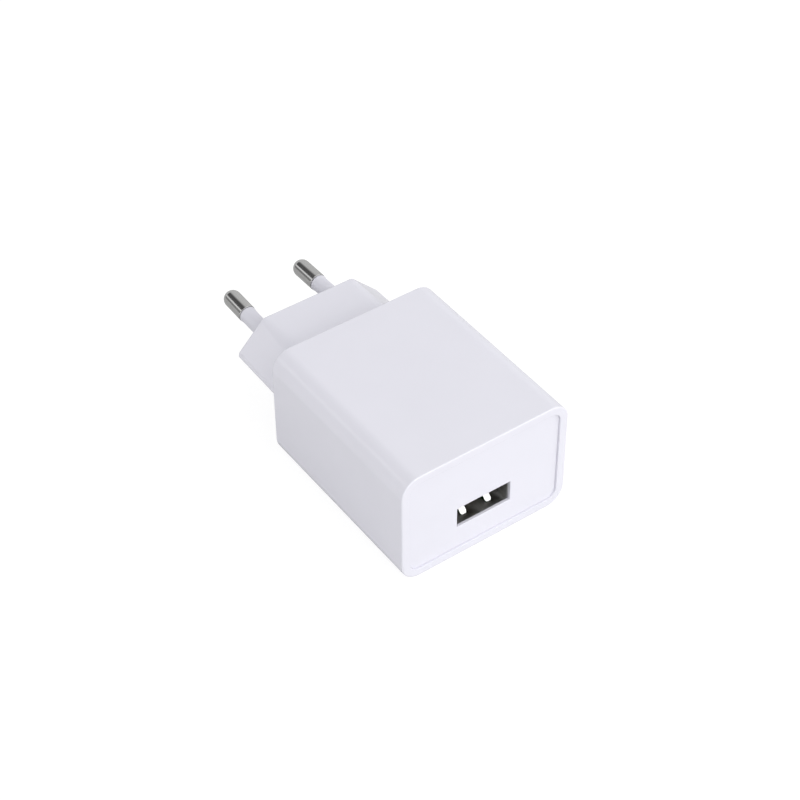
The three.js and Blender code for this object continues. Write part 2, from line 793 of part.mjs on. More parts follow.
function bobbinGeometry() {
  const innerY = CORE.middleLeg / 2 + LEAD_ROOM;
  const innerZ = CORE.depth / 2 + LEAD_ROOM;
  const { wall, flangeX, flangeSheet, flangeY, flangeZ } = BOBBIN;
  const railTop = CORE_HEIGHT - CORE.depth / 2 - 2.6;
  const pieces = [
    block(
      [-flangeX, -innerY - wall, CORE_HEIGHT - innerZ - wall],
      [flangeX, innerY + wall, CORE_HEIGHT + innerZ + wall],
    ),
  ];
  for (const side of [-1, 1]) {
    const flange = [side * flangeX, side * (flangeX - flangeSheet)].sort((a, b) => a - b);
    const rail = [side * (flangeX - flangeSheet), (side * CORE.size) / 2].sort((a, b) => a - b);
    pieces.push(block(
      [flange[0], -flangeY, CORE_HEIGHT - flangeZ],
      [flange[1], flangeY, CORE_HEIGHT + flangeZ],
    ));
    pieces.push(block([rail[0], -flangeY, 0.1], [rail[1], flangeY, railTop]));
    for (const y of TERMINAL_OFFSETS) {
      const x = side * TERMINAL_X;
      pieces.push(block(
        [x - TERMINAL_WIDTH / 2, y - TERMINAL_WIDTH / 2, -LEAD_REACH],
        [x + TERMINAL_WIDTH / 2, y + TERMINAL_WIDTH / 2, 1],
      ));
    }
  }
  const coreHole = block(
    [-flangeX - 1, -innerY, CORE_HEIGHT - innerZ],
    [flangeX + 1, innerY, CORE_HEIGHT + innerZ],
  );
  return geometryOf(cut(joined(...pieces), coreHole));
}

function windingGeometry() {
  const { flangeX, flangeSheet, wall } = BOBBIN;
  const halfLength = flangeX - flangeSheet - FIT_GAP;
  const outline = rectangleOutline(2 * WINDING.y, 2 * WINDING.z, WINDING.cornerRadius);
  const coil = prismAlongY(outline, -halfLength, halfLength, 0, 4);
  const innerY = CORE.middleLeg / 2 + LEAD_ROOM + wall + FIT_GAP;
  const innerZ = CORE.depth / 2 + LEAD_ROOM + wall + FIT_GAP;
  const hole = block([-innerY, -halfLength - 1, -innerZ], [innerY, halfLength + 1, innerZ]);
  const acrossBoard = geometryOf(cut(solidOf(coil), hole)).rotateZ(Math.PI / 2);
  return acrossBoard.translate(0, 0, CORE_HEIGHT);
}

// The tape that holds the two core halves together.
function coreTapeGeometry() {
  const sheet = 0.2;
  const inner = CORE.size + 2 * FIT_GAP;
  const outer = inner + 2 * sheet;
  const halfHeight = CORE.depth / 2 - 0.5;
  const corner = 0.4;
  const band = cut(
    solidOf(prismAlongY(rectangleOutline(outer, outer, corner), -halfHeight, halfHeight, 0, 3)),
    prismAlongY(rectangleOutline(inner, inner, 0.05), -halfHeight - 1, halfHeight + 1, 0, 1),
  );
  return geometryOf(band).rotateX(Math.PI / 2).translate(0, 0, CORE_HEIGHT);
}

function makeTransformer() {
  const transformer = new THREE.Group();
  transformer.add(
    named('transformer_core_left', coreHalfGeometry(-1), ferrite),
    named('transformer_core_right', coreHalfGeometry(1), ferrite),
    named('transformer_bobbin', bobbinGeometry(), blackPlastic),
    named('transformer_winding', windingGeometry(), yellowTape),
    named('transformer_tape', coreTapeGeometry(), yellowTape),
  );
  const [x, y] = LAYOUT.transformer;
  transformer.position.set(x, y, BOARD_TOP);
  return transformer;
}

// ---------------------------------------------------------------- circuit board

function holesFor(part, offsets, radius = LEAD_RADIUS + LEAD_ROOM) {
  const [x, y] = LAYOUT[part];
  return offsets.map(([dx, dy]) => (
    uprightRod(x + dx, y + dy, radius, BOARD_BOTTOM - 1, BOARD_TOP + 1)
  ));
}

function boardHoles() {
  const holes = Object.entries(CAPACITORS).flatMap(([part, { leadPitch }]) => (
    holesFor(part, [[-leadPitch / 2, 0], [leadPitch / 2, 0]])
  ));
  const safetyX = SAFETY_LEAD_PITCH / 2;
  const inductorX = INDUCTOR_LEAD_PITCH / 2;
  const fuseY = FUSE_LEAD_PITCH / 2;
  holes.push(...holesFor('safety_capacitor', [[-safetyX, 0], [safetyX, 0]]));
  holes.push(...holesFor('filter_inductor', [[-inductorX, 0], [inductorX, 0]]));
  holes.push(...holesFor('fuse_resistor', [[0, -fuseY], [0, fuseY]], 0.8));
  const terminals = [-TERMINAL_X, TERMINAL_X].flatMap((x) => TERMINAL_OFFSETS.map((y) => [x, y]));
  holes.push(...holesFor('transformer', terminals, 0.75));
  const legX = (SHELL_INNER_WIDTH + SHELL_SHEET) / 2;
  for (const x of [-legX, legX]) {
    holes.push(block(
      [x - 0.5, SHELL_LEG_Y - LEAD_ROOM, BOARD_BOTTOM - 1],
      [x + 0.5, SHELL_LEG_Y + SHELL_LEG_LENGTH + LEAD_ROOM, BOARD_TOP + 1],
    ));
  }
  for (const x of CONTACT_OFFSETS) {
    holes.push(block(
      [x - CONTACT_WIDTH / 2 - 0.2, CONTACT_TAIL_Y - 0.4, BOARD_BOTTOM - 1],
      [x + CONTACT_WIDTH / 2 + 0.2, CONTACT_TAIL_Y + 0.4, BOARD_TOP + 1],
    ));
  }
  return holes;
}

function makeCircuitBoard() {
  const board = block(
    [-BOARD_WIDTH / 2, BOARD_FRONT_Y, BOARD_BOTTOM],
    [BOARD_WIDTH / 2, BOARD_BACK_Y, BOARD_TOP],
  );
  return named('circuit_board', geometryOf(cut(solidOf(board), ...boardHoles())), boardLaminate);
}

// ---------------------------------------------------------------- electronics

function onBoard(name, geometry, material, place = name) {
  const [x, y] = LAYOUT[place];
  return named(name, geometry, material, [x, y, BOARD_TOP + FIT_GAP]);
}

function underBoard(name, geometry, material) {
  const [x, y] = LAYOUT[name];
  const mesh = named(name, geometry, material, [x, y, BOARD_BOTTOM - FIT_GAP]);
  mesh.rotation.y = Math.PI;
  return mesh;
}

function makeElectronics() {
  const electronics = new THREE.Group();
  electronics.add(makeCircuitBoard(), makeTransformer());
  for (const [name, sizes] of Object.entries(CAPACITORS)) {
    electronics.add(onBoard(name, capacitorGeometry(sizes), capacitorSleeve));
  }
  const bridge = { length: 4.7, width: 3.9, height: 2.5, legs: 2, legPitch: 2.5, legWidth: 0.7 };
  const chip = { length: 4.9, width: 3.9, height: 1.5, legs: 4, legPitch: 1.27, legWidth: 0.4 };
  const diode = { length: 3.9, width: 4.5, height: 2.3, legs: 1, legPitch: 0, legWidth: 2 };
  const smallChip = { length: 2, width: 1.25, height: 0.6 };
  const largeChip = { length: 3.2, width: 1.6, height: 0.8 };
  electronics.add(
    onBoard('safety_capacitor', safetyCapacitorGeometry(), blueCeramic),
    onBoard('fuse_resistor', fuseResistorGeometry(), resistorBody),
    onBoard('filter_inductor_core', inductorCoreGeometry(), ferrite, 'filter_inductor'),
    onBoard('filter_inductor_winding', inductorWindingGeometry(), copperWire, 'filter_inductor'),
    onBoard('bridge_rectifier', packageGeometry(bridge), blackPlastic),
    onBoard('output_diode', packageGeometry(diode), blackPlastic),
    underBoard('controller_chip', packageGeometry(chip), blackPlastic),
    underBoard('snubber_resistor', chipGeometry(largeChip), blackPlastic),
    underBoard('snubber_capacitor', chipGeometry(largeChip), ceramicTan),
    underBoard('sense_resistor', chipGeometry(smallChip), blackPlastic),
    underBoard('feedback_resistor', chipGeometry(smallChip), blackPlastic),
  );
  return electronics;
}

// ---------------------------------------------------------------- whole charger

const charger = new THREE.Group();
charger.name = 'usb_wall_charger';
charger.add(
  makeCaseBody(),
  makeFrontCover(),
  makePlug(),
  makeUsbSocket(),
  makeElectronics(),
);

export default charger;
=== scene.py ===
"""A white USB wall charger with a flat European plug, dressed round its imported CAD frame."""

import json
import math

import bmesh
import bpy
from mathutils import Matrix, Vector


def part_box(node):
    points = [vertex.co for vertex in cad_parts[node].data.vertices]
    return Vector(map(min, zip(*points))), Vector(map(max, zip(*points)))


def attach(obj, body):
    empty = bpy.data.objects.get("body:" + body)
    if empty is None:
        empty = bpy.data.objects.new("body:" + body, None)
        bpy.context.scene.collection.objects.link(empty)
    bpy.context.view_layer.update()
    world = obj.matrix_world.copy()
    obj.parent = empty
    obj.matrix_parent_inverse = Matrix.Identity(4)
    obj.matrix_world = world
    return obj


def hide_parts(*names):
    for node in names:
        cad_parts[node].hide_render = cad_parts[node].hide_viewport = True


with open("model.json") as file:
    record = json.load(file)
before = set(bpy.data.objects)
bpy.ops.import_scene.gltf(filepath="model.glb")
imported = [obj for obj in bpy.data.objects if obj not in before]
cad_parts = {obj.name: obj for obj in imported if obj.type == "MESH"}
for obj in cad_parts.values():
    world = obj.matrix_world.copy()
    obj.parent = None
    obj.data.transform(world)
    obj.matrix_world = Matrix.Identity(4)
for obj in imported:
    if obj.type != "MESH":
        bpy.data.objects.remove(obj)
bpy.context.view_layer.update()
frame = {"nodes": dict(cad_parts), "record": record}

MM = 0.001

# ------------------------------------------------------------------ places taken from the frame

case_low, case_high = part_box("case_body")
cover_low, cover_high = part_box("front_cover")
shell_low, shell_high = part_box("usb_shell")
tongue_low, tongue_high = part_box("usb_tongue")
carrier_low, carrier_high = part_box("pin_carrier")

FRONT_Y = case_low.y
BASE_FACE_Y = case_high.y
BODY_WIDTH = case_high.x - case_low.x
BODY_HEIGHT = case_high.z - case_low.z
BODY_LENGTH = 45 * MM
BODY_BACK_Y = FRONT_Y + BODY_LENGTH
PLUG_HEIGHT = (carrier_low.z + carrier_high.z) / 2
COVER_FACE_Y = cover_low.y
PORT_HEIGHT = (tongue_low.z + tongue_high.z) / 2

# ------------------------------------------------------------------ sizes of the moulded shapes

BODY_EDGE_RADIUS = 4.3 * MM
BODY_END_ROUNDING = 0.3 * MM
RIM_WALL = 1.9 * MM
RIM_ROUNDING = 0.1 * MM
SIDE_WALL = 2.4 * MM
BACK_WALL = 2.2 * MM
SEAT_DEPTH = 1.85 * MM

BASE_WIDTH = 36.7 * MM
BASE_HEIGHT = 14 * MM
BASE_FLAT_WIDTH = 22.5 * MM
BASE_DRAFT = 0.3 * MM
BASE_POINT_RADIUS = 1.2 * MM
BASE_FACE_SHOULDER_RADIUS = 1.2 * MM
BASE_ROOT_SHOULDER_RADIUS = 7 * MM
BASE_WALL = 2 * MM
BASE_FACE_WALL = 2.4 * MM
BASE_FACE_ROUNDING = 0.45 * MM
BASE_ROOT_FILLET = 0.35 * MM

COVER_THICKNESS = 1.3 * MM
COVER_GAP = 0.02 * MM
COVER_ROUNDING = 0.06 * MM
WINDOW_WIDTH = 13 * MM
WINDOW_HEIGHT = 5.1 * MM
WINDOW_RADIUS = 0.25 * MM
WINDOW_ROUNDING = 0.14 * MM
WINDOW_LIP = 0.65 * MM
POCKET_ROOM = 0.12 * MM

PIN_RADIUS = 2 * MM
PIN_NECK_RADIUS = 1.4 * MM
PIN_LENGTH = 18 * MM
PIN_TAIL_LENGTH = 9.4 * MM
PIN_ROOT_PITCH = 18.6 * MM
PIN_TIP_PITCH = 17.8 * MM
SLEEVE_LENGTH = 10 * MM
SLEEVE_RADIUS = 1.82 * MM
SLEEVE_BEAD_RADIUS = 1.92 * MM
SLEEVE_BEAD_LENGTH = 0.55 * MM
SLEEVE_BEAD_RAMP = 0.15 * MM
SLEEVE_BEAD_ROUNDING = 0.2 * MM

HOLE_RADIUS = SLEEVE_RADIUS + 0.02 * MM

TAB_OFFSET = 10 * MM
TAB_WIDTH = 5 * MM
TAB_LENGTH = 4 * MM
TAB_THICKNESS = 1.1 * MM
TAB_GAP = 0.25 * MM
TAB_ROOT = 0.3 * MM

FINGER_OFFSETS = (-3.05 * MM, 3.05 * MM)
FINGER_WIDTH = 1.5 * MM
FINGER_SHEET = 0.22 * MM
FINGER_GAP = 0.12 * MM
FINGER_TIP = 1.5 * MM
FINGER_DIP = 0.25 * MM
FINGER_LENGTH = 6.2 * MM
FINGER_RISE = 1.1 * MM
FINGER_CREST_RADIUS = 0.45 * MM
FINGER_RAMP_ANGLE = 45
FINGER_ROOT = 0.3 * MM
FINGER_EDGE_SOFTNESS = 0.05 * MM
CONTACT_OFFSETS = (-3.5 * MM, -1 * MM, 1 * MM, 3.5 * MM)

SHELL_SHEET = 0.3 * MM
SHELL_INNER_WIDTH = 12.6 * MM
SHELL_INNER_HEIGHT = 5.12 * MM
SHELL_INNER_RADIUS = 0.5 * MM
SHELL_OUTER_WIDTH = SHELL_INNER_WIDTH + 2 * SHELL_SHEET
SHELL_OUTER_HEIGHT = SHELL_INNER_HEIGHT + 2 * SHELL_SHEET
SHELL_OUTER_RADIUS = SHELL_INNER_RADIUS + SHELL_SHEET
SHELL_LEG_OFFSET = 8.6 * MM
SHELL_LEG_LENGTH = 2 * MM

TONGUE_WIDTH = 11.1 * MM
TONGUE_THICKNESS = 1.84 * MM
TONGUE_CLEARANCE = 2.62 * MM
TONGUE_EDGE_RADIUS = 0.25 * MM
TONGUE_FRONT_ROUNDING = 0.2 * MM
TONGUE_BLOCK_LENGTH = 3 * MM
TONGUE_BLOCK_GAP = 0.05 * MM
CONTACT_SLOT_WIDTH = 1.2 * MM
CONTACT_SLOT_HEIGHT = 0.5 * MM

# ------------------------------------------------------------------ light and camera

CAMERA_AZIMUTH = -35.17
CAMERA_ELEVATION = 43.02
CAMERA_ROLL = -0.41
CAMERA_TARGET = (-6.61 * MM, FRONT_Y + 19.37 * MM, BODY_HEIGHT)
CAMERA_DISTANCE = 392.6 * MM
CAMERA_LENS = 90.85
AMBIENT = 0.79
KEY_POWER = 4.4
FRONT_POWER = 1.45
FILL_POWER = 2.2
RIGHT_POWER = 0.35

# How bright the room is behind the charger, by the angle about its long axis from the right
SKY_BANDS = (
    (0, 1),
    (72, 1),
    (92, 0.15),
    (136, 0.15),
    (140, 1.5),
    (151, 1.5),
    (157, 0.3),
    (180, 0.4),
)

# ------------------------------------------------------------------ outlines


def rounded_outline(corners, arc_steps=14, side_steps=4):
    """Points (x, z) round a convex outline whose corners are (x, z, radius), anticlockwise."""
    points = []
    count = len(corners)
    arcs = []
    for i, (x, z, radius) in enumerate(corners):
        corner = Vector((x, z))
        to_before = (Vector(corners[i - 1][:2]) - corner).normalized()
        to_after = (Vector(corners[(i + 1) % count][:2]) - corner).normalized()
        half_angle = math.acos(max(-1, min(1, to_before.dot(to_after)))) / 2
        inward = (to_before + to_after).normalized()
        centre = corner + inward * (radius / math.sin(half_angle))
        reach = radius / math.tan(half_angle)
        start = corner + to_before * reach - centre
        turn = math.pi - 2 * half_angle
        arc = []
        for k in range(arc_steps + 1):
            angle = turn * k / arc_steps
            arc.append(centre + Matrix.Rotation(angle, 2) @ start)
        arcs.append(arc)
    for i, arc in enumerate(arcs):
        points += arc
        end = arc[-1]
        following = arcs[(i + 1) % count][0]
        for k in range(1, side_steps):
            points.append(end.lerp(following, k / side_steps))
    return points


def rectangle(width, height, radius, centre_z):
    x = width / 2
    low = centre_z - height / 2
    high = centre_z + height / 2
    return [(-x, low, radius), (x, low, radius), (x, high, radius), (-x, high, radius)]


def body_outline(wall):
    """The body's section, moved in by a wall thickness."""
    return rounded_outline(
        rectangle(
            BODY_WIDTH - 2 * wall,
            BODY_HEIGHT - 2 * wall,
            BODY_EDGE_RADIUS - wall,
            BODY_HEIGHT / 2,
        )
    )


def base_outline(wall, along=1.0):
    """The plug base's section, moved in by a wall thickness, or out by a negative one.

    It goes from the root, at 0 along, which is wider and has soft shoulders, to the plug face, at 1.
    """
    width = BASE_WIDTH + BASE_DRAFT * (1 - 2 * along)
    rise = BASE_HEIGHT / 2
    run = (width - BASE_FLAT_WIDTH) / 2
    slope = math.hypot(rise, run)
    point = width / 2 - wall * slope / rise
    shoulder = BASE_FLAT_WIDTH / 2 - wall * (slope - run) / rise
    softening = (BASE_ROOT_SHOULDER_RADIUS - BASE_FACE_SHOULDER_RADIUS) * math.sqrt(1 - along)
    softness = BASE_FACE_SHOULDER_RADIUS + softening
    point_radius = max(BASE_POINT_RADIUS - wall, 0.4 * MM)
    shoulder_radius = max(softness - wall, 0.4 * MM)
    low = PLUG_HEIGHT - rise + wall
    high = PLUG_HEIGHT + rise - wall
    return rounded_outline(
        [
            (-shoulder, low, shoulder_radius),
            (shoulder, low, shoulder_radius),
            (point, PLUG_HEIGHT, point_radius),
            (shoulder, high, shoulder_radius),
            (-shoulder, high, shoulder_radius),
            (-point, PLUG_HEIGHT, point_radius),
        ]
    )


def port_outline(width, height, radius):
    """A rounded rectangle about the middle of the USB port."""
    return rounded_outline(rectangle(width, height, radius, PORT_HEIGHT), arc_steps=6, side_steps=2)


# ------------------------------------------------------------------ mesh building

SHARP_ANGLE = math.radians(40)


class Skin:
    """A bmesh grown ring by ring."""

    def __init__(self):
        self.mesh = bmesh.new()

    def ring(self, points):
        return [self.mesh.verts.new(p) for p in points]

    def section(self, outline, y):
        return self.ring([(p.x, y, p.y) for p in outline])

    def bridge(self, first, second):
        count = len(first)
        for i in range(count):
            j = (i + 1) % count
            self.mesh.faces.new((first[i], first[j], second[j], second[i]))

    def loft(self, rings):
        for first, second in zip(rings, rings[1:]):
            self.bridge(first, second)
        return rings[-1]

    def fill(self, *loops):
        """Closes the flat space between an outer loop and any loops inside it."""
        edges = []
        for loop in loops:
            for i, vert in enumerate(loop):
                following = loop[(i + 1) % len(loop)]
                edge = self.mesh.edges.get((vert, following))
                edges.append(edge or self.mesh.edges.new((vert, following)))
        bmesh.ops.triangle_fill(self.mesh, use_beauty=True, edges=edges)

    def block(self, low, high):
        """A closed block between two corners."""
        centre = (Vector(low) + Vector(high)) / 2
        size = Vector(high) - Vector(low)
        matrix = Matrix.Translation(centre) @ Matrix.Diagonal((*size, 1))
        return bmesh.ops.create_cube(self.mesh, size=1, matrix=matrix)["verts"]

    def to_object(self, name, material):
        data = bpy.data.meshes.new(name)
        self.mesh.to_mesh(data)
        self.mesh.free()
        data.materials.append(material)
        made = bpy.data.objects.new(name, data)
        bpy.context.scene.collection.objects.link(made)
        return made

    def finish(self, name, slot):
        """A piece with soft shading, except over its sharp edges."""
        bmesh.ops.recalc_face_normals(self.mesh, faces=self.mesh.faces)
        for face in self.mesh.faces:
            face.smooth = True
        for edge in self.mesh.edges:
            if len(edge.link_faces) == 2:
                edge.smooth = edge.calc_face_angle() < SHARP_ANGLE
        piece = self.to_object(name, MATERIALS[slot])
        return piece


def combine(piece, other, operation):
    """Joins or cuts a piece with another closed piece, which is then removed."""
    modifier = piece.modifiers.new("combine", "BOOLEAN")
    modifier.operation = operation
    modifier.solver = "EXACT"
    modifier.object = other
    depsgraph = bpy.context.evaluated_depsgraph_get()
    result = bpy.data.meshes.new_from_object(piece.evaluated_get(depsgraph))
    piece.modifiers.clear()
    piece.data = result
    bpy.data.objects.remove(other)


def weight_normals(piece):
    modifier = piece.modifiers.new("even_shading", "WEIGHTED_NORMAL")
    modifier.keep_sharp = True


def rounding_steps(radius, steps):
    """(inset, drop) pairs round a quarter circle, from (0, radius) on the side to (radius, 0) on the end."""
    pairs = []
    for k in range(steps + 1):
        angle = math.radians(90 * k / steps)
        pairs.append((radius * (1 - math.cos(angle)), radius * (1 - math.sin(angle))))
    return pairs


def circle_points(centre, axis, radius, count):
    """A ring of points about an axis."""
    axis = axis.normalized()
    across = axis.cross(Vector((0, 0, 1))).normalized()
    up = across.cross(axis)
    points = []
    for k in range(count):
        angle = 2 * math.pi * k / count
        points.append(centre + across * (radius * math.cos(angle)) + up * (radius * math.sin(angle)))
    return points


# ------------------------------------------------------------------ materials


class Shader:
    """A Principled material and its node helpers."""

    def __init__(self, name, color, roughness, metallic=0.0):
        self.material = bpy.data.materials.new(name)
        self.material.use_nodes = True
        self.nodes = self.material.node_tree.nodes
        self.links = self.material.node_tree.links
        self.principled = self.nodes["Principled BSDF"]
        self.inputs = self.principled.inputs
        self.inputs["Base Color"].default_value = (*color, 1)
        self.inputs["Roughness"].default_value = roughness
        self.inputs["Metallic"].default_value = metallic
        self.place = self.nodes.new("ShaderNodeTexCoord").outputs["Object"]

    def noise(self, scale, detail, stretch=(1, 1, 1)):
        mapping = self.nodes.new("ShaderNodeMapping")
        mapping.inputs["Scale"].default_value = stretch
        texture = self.nodes.new("ShaderNodeTexNoise")
        texture.inputs["Scale"].default_value = scale
        texture.inputs["Detail"].default_value = detail
        self.links.new(self.place, mapping.inputs["Vector"])
        self.links.new(mapping.outputs["Vector"], texture.inputs["Vector"])
        return texture.outputs["Fac"]

    def spread(self, source, low, high):
        """Maps the middle of a noise's range, where nearly all of it lies, on to a range of values."""
        scale = self.nodes.new("ShaderNodeMapRange")
        scale.inputs["From Min"].default_value = 0.3
        scale.inputs["From Max"].default_value = 0.7
        scale.inputs["To Min"].default_value = low
        scale.inputs["To Max"].default_value = high
        self.links.new(source, scale.inputs["Value"])
        return scale.outputs["Result"]

    def vary_roughness(self, source, low, high):
        self.links.new(self.spread(source, low, high), self.inputs["Roughness"])

    def vary_color(self, source, first, second):
        mix = self.nodes.new("ShaderNodeMix")
        mix.data_type = "RGBA"
        mix.inputs["A"].default_value = (*first, 1)
        mix.inputs["B"].default_value = (*second, 1)
        self.links.new(self.spread(source, 0, 1), mix.inputs["Factor"])
        self.links.new(mix.outputs["Result"], self.inputs["Base Color"])

    def bump(self, source, distance):
        bump = self.nodes.new("ShaderNodeBump")
        bump.inputs["Strength"].default_value = 1
        bump.inputs["Distance"].default_value = distance
        self.links.new(source, bump.inputs["Height"])
        self.links.new(bump.outputs["Normal"], self.inputs["Normal"])


def shade(color, factor):
    return tuple(channel * factor for channel in color)


def moulded_plastic(name, color, roughness, grain_mm, grain_depth_mm):
    """Moulded plastic: a faint mottle in colour and gloss, and the fine grain of the mould."""
    shader = Shader(name, color, roughness)
    shader.vary_color(shader.noise(90, 3), shade(color, 0.985), color)
    shader.vary_roughness(shader.noise(260, 4), roughness * 0.9, roughness * 1.12)
    shader.bump(shader.noise(1 / (grain_mm * MM), 3), grain_depth_mm * MM)
    return shader.material


def plated_metal(name, color, roughness, stretch, scale):
    """Drawn or rolled metal: fine streaks along its length."""
    shader = Shader(name, color, roughness, metallic=1.0)
    streaks = shader.noise(scale, 4, stretch)
    shader.vary_color(streaks, shade(color, 0.9), color)
    shader.vary_roughness(streaks, roughness * 0.75, roughness * 1.3)
    shader.bump(streaks, 0.004 * MM)
    return shader.material


WHITE = (0.8, 0.795, 0.867)

# Colour, roughness, and the size and depth of the mould's grain in millimetres
MOULDED_LOOKS = {
    "white_plastic": (WHITE, 0.17, 0.3, 0.0012),
    "sleeve_plastic": (shade(WHITE, 0.9), 0.35, 0.3, 0.003),
    "carrier_plastic": ((0.72, 0.72, 0.7), 0.55, 0.3, 0.006),
    "black_plastic": ((0.012, 0.012, 0.013), 0.5, 0.25, 0.006),
    "board_laminate": ((0.05, 0.2, 0.08), 0.3, 0.4, 0.01),
    "ferrite": ((0.03, 0.03, 0.034), 0.7, 0.12, 0.012),
    "yellow_tape": ((0.75, 0.48, 0.05), 0.25, 0.8, 0.01),
    "capacitor_sleeve": ((0.02, 0.03, 0.06), 0.28, 0.9, 0.008),
    "blue_ceramic": ((0.04, 0.13, 0.45), 0.4, 0.6, 0.02),
    "resistor_body": ((0.2, 0.42, 0.5), 0.4, 0.5, 0.01),
    "ceramic_tan": ((0.5, 0.35, 0.2), 0.6, 0.1, 0.008),
}

# Colour, roughness, the stretch of the streaks along each axis, and their scale
METAL_LOOKS = {
    "nickel": ((0.56, 0.558, 0.553), 0.16, (1, 0.03, 1), 900),
    "tinned_steel": ((0.68, 0.68, 0.67), 0.38, (1, 0.05, 1), 900),
    "spring_bronze": ((0.62, 0.42, 0.2), 0.3, (0.1, 1, 1), 900),
    "gilded": ((0.83, 0.6, 0.25), 0.22, (1, 0.05, 1), 900),
    "copper_wire": ((0.6, 0.25, 0.1), 0.3, (1, 1, 8), 500),
}

MATERIALS = {}
for slot, look in MOULDED_LOOKS.items():
    MATERIALS[slot] = moulded_plastic(slot, *look)
for slot, look in METAL_LOOKS.items():
    MATERIALS[slot] = plated_metal(slot, *look)

# ------------------------------------------------------------------ mains pins

SIDES = {"left": -1, "right": 1}
PIN_SEGMENTS = 72


def pin_axis(side):
    """Where a pin leaves the plug face, and the direction of its tip."""
    lean = math.atan((PIN_ROOT_PITCH - PIN_TIP_PITCH) / 2 / PIN_LENGTH)
    root = Vector((side * PIN_ROOT_PITCH / 2, BASE_FACE_Y, PLUG_HEIGHT))
    return root, Vector((-side * math.sin(lean), math.cos(lean), 0))


def turned(skin, root, axis, profile, closed=False):
    """Turns (radius, distance along the axis) points. A zero radius at either end closes it with a fan."""
    rings = []
    for radius, distance in profile:
        centre = root + axis * distance
        if radius == 0:
            rings.append(skin.mesh.verts.new(centre))
        else:
            rings.append(skin.ring(circle_points(centre, axis, radius, PIN_SEGMENTS)))
    pairs = list(zip(rings, rings[1:]))
    if closed:
        pairs.append((rings[-1], rings[0]))
    for first, second in pairs:
        if isinstance(first, list) and isinstance(second, list):
            skin.bridge(first, second)
        else:
            hub, rim = (first, second) if isinstance(second, list) else (second, first)
            for i, vert in enumerate(rim):
                skin.mesh.faces.new((hub, vert, rim[(i + 1) % len(rim)]))


def make_pin(side_name, side):
    root, axis = pin_axis(side)
    head = SLEEVE_LENGTH
    edge = 0.12 * MM
    collar = 2.2 * MM
    collar_front = -7.5 * MM
    profile = [(0, -PIN_TAIL_LENGTH), (collar, -PIN_TAIL_LENGTH), (collar, collar_front)]
    profile += [(PIN_NECK_RADIUS, collar_front), (PIN_NECK_RADIUS, head)]
    for inset, drop in reversed(rounding_steps(edge, 4)):
        profile.append((PIN_RADIUS - inset, head + drop))
    dome_steps = 18
    for k in range(dome_steps):
        angle = math.pi / 2 * k / dome_steps
        profile.append((PIN_RADIUS * math.cos(angle), PIN_LENGTH - PIN_RADIUS * (1 - math.sin(angle))))
    profile.append((0, PIN_LENGTH))
    skin = Skin()
    turned(skin, root, axis, profile)
    piece = skin.finish(f"mains_pin_{side_name}_metal", "nickel")
    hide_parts(f"mains_pin_{side_name}")
    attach(piece, "root")


def make_sleeve(side_name, side):
    root, axis = pin_axis(side)
    bore = PIN_NECK_RADIUS + 0.03 * MM
    flange = 2.8 * MM
    flange_front = -BASE_FACE_WALL - 0.2 * MM
    flange_back = flange_front - 1.2 * MM
    end = SLEEVE_LENGTH - 0.05 * MM
    bead_foot = end - SLEEVE_BEAD_LENGTH
    profile = [
        (bore, flange_back),
        (flange, flange_back),
        (flange, flange_front),
        (SLEEVE_RADIUS, flange_front),
        (SLEEVE_RADIUS, bead_foot),
        (SLEEVE_BEAD_RADIUS, bead_foot + SLEEVE_BEAD_RAMP),
    ]
    for inset, drop in rounding_steps(SLEEVE_BEAD_ROUNDING, 5):
        profile.append((SLEEVE_BEAD_RADIUS - inset, end - drop))
    profile.append((bore, end))
    skin = Skin()
    turned(skin, root, axis, profile, closed=True)
    piece = skin.finish(f"pin_sleeve_{side_name}_moulded", "sleeve_plastic")
    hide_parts(f"pin_sleeve_{side_name}")
    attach(piece, "root")


# ------------------------------------------------------------------ case body


def flat_circle(centre, radius, count=48):
    """A circle in the plane of the plug face."""
    points = []
    for k in range(count):
        angle = 2 * math.pi * k / count
        points.append((centre.x + radius * math.cos(angle), centre.y, centre.z + radius * math.sin(angle)))
    return points


